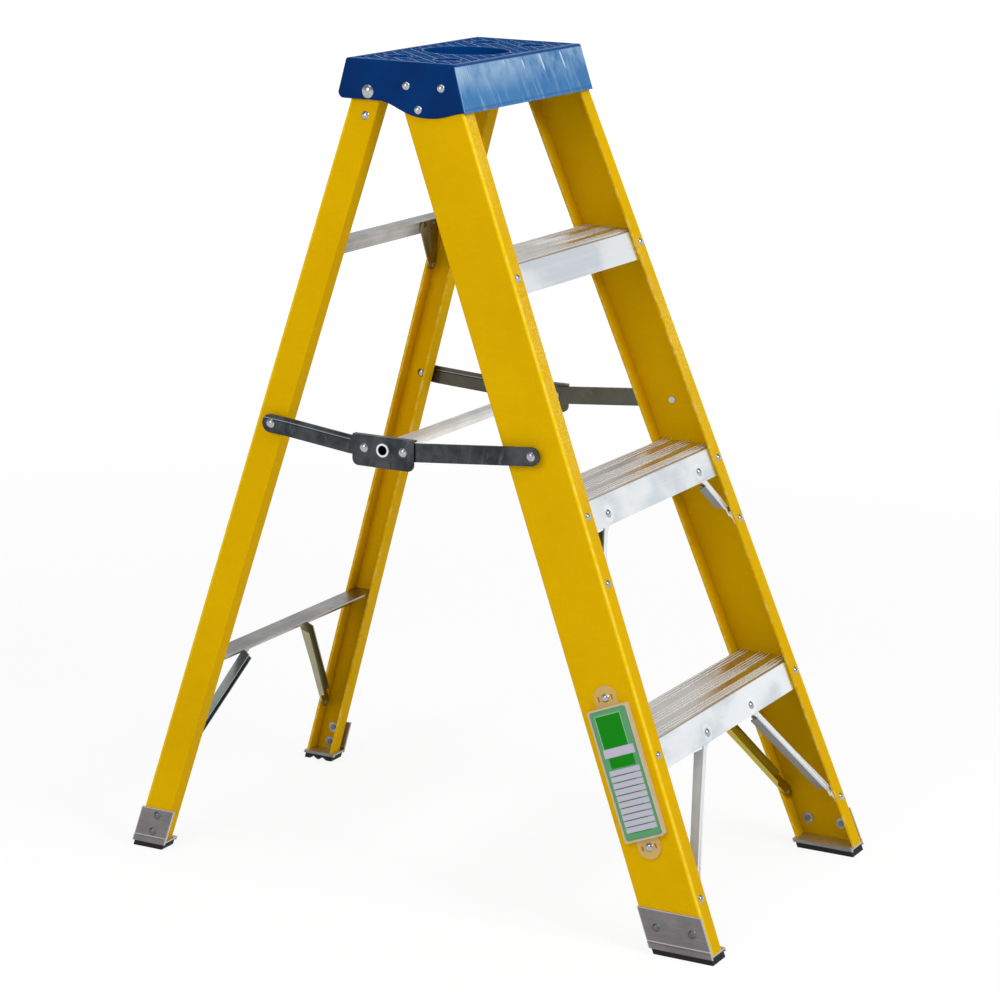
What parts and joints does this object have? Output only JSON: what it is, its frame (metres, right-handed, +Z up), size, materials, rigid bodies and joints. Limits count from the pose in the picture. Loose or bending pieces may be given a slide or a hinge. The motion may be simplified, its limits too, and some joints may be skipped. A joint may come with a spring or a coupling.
{
  "type": "step ladder",
  "caption": "Folding fibreglass step ladder: splayed channel rails, ribbed aluminium treads, moulded tool-tray top, hinged rear frame and a folding steel spreader.",
  "frame": {"origin": "on the floor in the middle of the open ladder's footprint", "axes": "+Z up, -Y towards the climbing side, +X to the right of someone who looks along +Y"},
  "size_m": [0.5122, 0.8809, 1.094],
  "materials": {
    "rail_yellow": "pultruded glass fibre, satin, worn at the edges",
    "cap_blue": "moulded, scuffed",
    "tread_aluminium": "mill finish, streaked",
    "shoe_aluminium": "dull, dirty",
    "galvanised_steel": "galvanised",
    "spreader_steel": "dark zinc plate, scuffed",
    "rivet_steel": "bright plated",
    "pad_rubber": "matte",
    "washer_nylon": "natural",
    "tag_plastic": "translucent",
    "card_green": "printed rows, blank"
  },
  "bodies": {
    "front_frame": {"bottom_step": "tread_aluminium", "bottom_step_front_brace_left": "galvanised_steel", "bottom_step_front_brace_right": "galvanised_steel", "bottom_step_rear_brace_left": "galvanised_steel", "bottom_step_rear_brace_right": "galvanised_steel", "cap_rivets": "rivet_steel", "front_pad_left": "pad_rubber", "front_pad_right": "pad_rubber", "front_rail_left": "rail_yellow", "front_rail_right": "rail_yellow", "front_shoe_left": "shoe_aluminium", "front_shoe_right": "shoe_aluminium", "front_shoe_rivets": "rivet_steel", "front_shoe_washers": "galvanised_steel", "hinge_pins": "rivet_steel", "hinge_washers": "washer_nylon", "middle_step": "tread_aluminium", "middle_step_brace_left": "galvanised_steel", "middle_step_brace_right": "galvanised_steel", "spreader_front_pins": "rivet_steel", "spreader_front_spacers": "galvanised_steel", "step_brace_foot_rivets": "rivet_steel", "step_brace_top_rivets": "rivet_steel", "step_rivets": "rivet_steel", "tag_card": "card_green", "tag_holder": "tag_plastic", "tag_screws": "rivet_steel", "top_cap": "cap_blue", "top_step": "tread_aluminium"},
    "rear_frame": {"rear_rail_left": "rail_yellow", "rear_rail_right": "rail_yellow", "rear_crossbar_upper": "tread_aluminium", "rear_crossbar_lower": "tread_aluminium", "upper_gusset_left": "galvanised_steel", "upper_gusset_right": "galvanised_steel", "rear_brace_left": "galvanised_steel", "rear_brace_right": "galvanised_steel", "rear_shoe_left": "shoe_aluminium", "rear_shoe_right": "shoe_aluminium", "rear_pad_left": "pad_rubber", "rear_pad_right": "pad_rubber", "rear_shoe_rivets": "rivet_steel", "rear_shoe_washers": "galvanised_steel", "crossbar_rivets": "rivet_steel", "rear_brace_top_rivets": "rivet_steel", "rear_brace_foot_rivets": "rivet_steel", "hinge_plates": "galvanised_steel", "hinge_plate_rivets": "rivet_steel", "spreader_rear_spacers": "galvanised_steel", "spreader_rear_anchors": "rivet_steel"},
    "spreader_front_arms": {"spreader_front_arm_left": "spreader_steel", "spreader_front_arm_right": "spreader_steel"},
    "spreader_centre": {"spreader_plate_left": "spreader_steel", "spreader_plate_right": "spreader_steel", "spreader_tube": "tread_aluminium", "spreader_plate_pins": "rivet_steel"},
    "spreader_rear_arms": {"spreader_rear_arm_left": "spreader_steel", "spreader_rear_arm_right": "spreader_steel", "spreader_rear_pins": "rivet_steel"}
  },
  "joints": [
    {"name": "rear_fold", "type": "hinge", "parent": "front_frame", "child": "rear_frame", "pos_m": [0, 0.11317, 1.053], "axis": [-1, 0, 0], "range_deg": [0, 36]},
    {"name": "spreader_front_fold", "type": "hinge", "parent": "front_frame", "child": "spreader_front_arms", "pos_m": [0, -0.1509, 0.614], "axis": [1, 0, 0], "range_deg": [0, 64.9]},
    {"name": "spreader_centre_fold", "type": "hinge", "parent": "spreader_front_arms", "child": "spreader_centre", "pos_m": [0, 0.0329, 0.5977], "axis": [-1, 0, 0], "range_deg": [0, 73.9]},
    {"name": "spreader_rear_fold", "type": "hinge", "parent": "spreader_centre", "child": "spreader_rear_arms", "pos_m": [0, 0.0903, 0.5977], "axis": [-1, 0, 0], "range_deg": [0, 102.6]}
  ],
  "couplings": [
    {"joint": "spreader_front_fold", "follows": "rear_fold", "ratio": 1.8013},
    {"joint": "spreader_centre_fold", "follows": "rear_fold", "ratio": 2.0511},
    {"joint": "spreader_rear_fold", "follows": "rear_fold", "ratio": 2.847}
  ]
}
